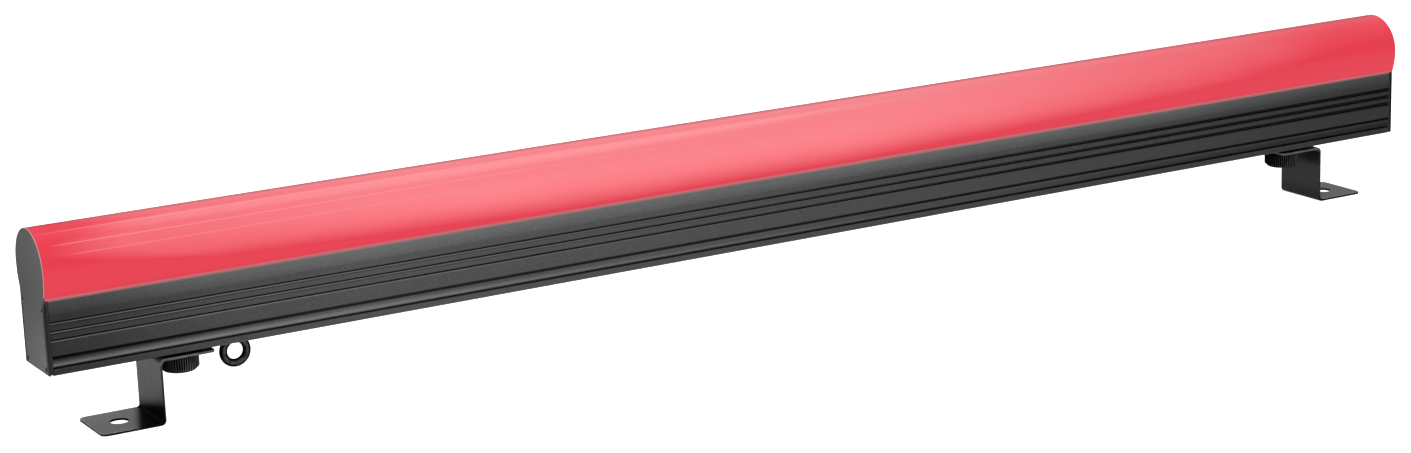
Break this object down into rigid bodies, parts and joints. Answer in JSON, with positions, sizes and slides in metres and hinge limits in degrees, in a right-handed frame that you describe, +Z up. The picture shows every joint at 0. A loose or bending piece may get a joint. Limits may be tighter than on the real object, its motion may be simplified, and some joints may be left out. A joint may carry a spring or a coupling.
{
  "type": "led strip batten",
  "caption": "Linear LED batten: black extruded housing, glowing red dome cover, sliding and swivelling sheet-metal feet on knurled clamp knobs, safety eye and rear sockets.",
  "frame": {"origin": "on the plane the feet stand on, midway between the two foot holes", "axes": "+X along the batten to its right-hand end, +Y to the rear (the socket side), +Z up through the glowing cover"},
  "size_m": [1, 0.0524, 0.1235],
  "materials": {
    "black_anodised": "satin black anodised aluminium, brushed along its length",
    "red_lit_cover": "milky acrylic, glowing red",
    "cap_grey": "satin dark grey powder coat",
    "black_rubber": "matte",
    "black_screw": "black oxide",
    "black_sheet": "satin black powder coat on sheet steel",
    "black_knob": "knurled",
    "dark_eye": "black zinc",
    "zinc_steel": "zinc plated",
    "white_board": "white solder mask",
    "green_board": "green solder mask",
    "led_white": "LED package",
    "led_red": "lit LED window",
    "chip_black": "moulded",
    "ferrite": "ferrite",
    "can_blue": "sleeved can",
    "ivory_plastic": "plug housing",
    "wire_red": "wire insulation",
    "wire_black": "wire insulation",
    "wire_green": "wire insulation",
    "wire_yellow": "wire insulation",
    "socket_metal": "nickel plated",
    "socket_black": "insulator",
    "contact_gold": "gold flash"
  },
  "bodies": {
    "housing": {"housing_profile": "black_anodised", "cover_diffuser": "red_lit_cover", "left_end_cap": "cap_grey", "right_end_cap": "cap_grey", "left_end_seal": "black_rubber", "right_end_seal": "black_rubber", "left_cap_screws": "black_screw", "right_cap_screws": "black_screw", "left_led_board": "white_board", "right_led_board": "white_board", "left_leds": "led_white", "right_leds": "led_white", "left_led_windows": "led_red", "right_led_windows": "led_red", "led_board_screws": "zinc_steel", "board_link_connector": "ivory_plastic", "driver_board": "green_board", "driver_chips": "chip_black", "driver_inductor": "ferrite", "driver_capacitors": "can_blue", "driver_headers": "ivory_plastic", "led_feed_wires": "wire_yellow", "power_wires": "wire_red", "return_wires": "wire_black", "data_wires": "wire_green", "input_socket_shell": "socket_metal", "input_socket_insert": "socket_black", "input_socket_pins": "contact_gold", "input_socket_seal": "black_rubber", "input_socket_nut": "socket_metal", "output_socket_shell": "socket_metal", "output_socket_insert": "socket_black", "output_socket_contacts": "contact_gold", "output_socket_seal": "black_rubber", "output_socket_nut": "socket_metal"},
    "left_clamp_slide": {"left_slide_nut": "zinc_steel", "left_spacer": "black_rubber"},
    "left_foot": {"left_bracket": "black_sheet"},
    "left_screw_travel": {"left_washer": "zinc_steel"},
    "left_clamp_screw": {"left_knob": "black_knob", "left_knob_screw": "zinc_steel"},
    "right_clamp_slide": {"right_slide_nut": "zinc_steel", "right_spacer": "black_rubber"},
    "right_foot": {"right_bracket": "black_sheet"},
    "right_screw_travel": {"right_washer": "zinc_steel"},
    "right_clamp_screw": {"right_knob": "black_knob", "right_knob_screw": "zinc_steel"},
    "eye_slide": {"safety_eye_nut": "zinc_steel"},
    "eye": {"safety_eye": "dark_eye"}
  },
  "joints": [
    {"name": "left_foot_slide", "type": "slide", "parent": "housing", "child": "left_clamp_slide", "axis": [1, 0, 0], "range_m": [-0.06, 0]},
    {"name": "left_foot_swivel", "type": "hinge", "parent": "left_clamp_slide", "child": "left_foot", "pos_m": [-0.4152, 0, 0.0364], "axis": [0, 0, 1], "range_deg": [-90, 90]},
    {"name": "left_screw_travel", "type": "slide", "parent": "left_clamp_slide", "child": "left_screw_travel", "axis": [0, 0, -1], "range_m": [0, 0.002]},
    {"name": "left_knob_turn", "type": "hinge", "parent": "left_screw_travel", "child": "left_clamp_screw", "pos_m": [-0.4152, 0, 0.0364], "axis": [0, 0, -1], "range_deg": [0, 720]},
    {"name": "right_foot_slide", "type": "slide", "parent": "housing", "child": "right_clamp_slide", "axis": [1, 0, 0], "range_m": [-0.25, 0.06]},
    {"name": "right_foot_swivel", "type": "hinge", "parent": "right_clamp_slide", "child": "right_foot", "pos_m": [0.4152, 0, 0.0364], "axis": [0, 0, 1], "continuous": true},
    {"name": "right_screw_travel", "type": "slide", "parent": "right_clamp_slide", "child": "right_screw_travel", "axis": [0, 0, -1], "range_m": [0, 0.002]},
    {"name": "right_knob_turn", "type": "hinge", "parent": "right_screw_travel", "child": "right_clamp_screw", "pos_m": [0.4152, 0, 0.0364], "axis": [0, 0, -1], "range_deg": [0, 720]},
    {"name": "eye_slide", "type": "slide", "parent": "housing", "child": "eye_slide", "axis": [1, 0, 0], "range_m": [0, 0.4]},
    {"name": "eye_turn", "type": "hinge", "parent": "eye_slide", "child": "eye", "pos_m": [-0.3805, 0, 0.0307], "axis": [0, 0, 1], "continuous": true}
  ],
  "couplings": [
    {"joint": "left_knob_turn", "follows": "left_screw_travel", "rad_per_m": 6283.2},
    {"joint": "right_knob_turn", "follows": "right_screw_travel", "rad_per_m": 6283.2}
  ]
}
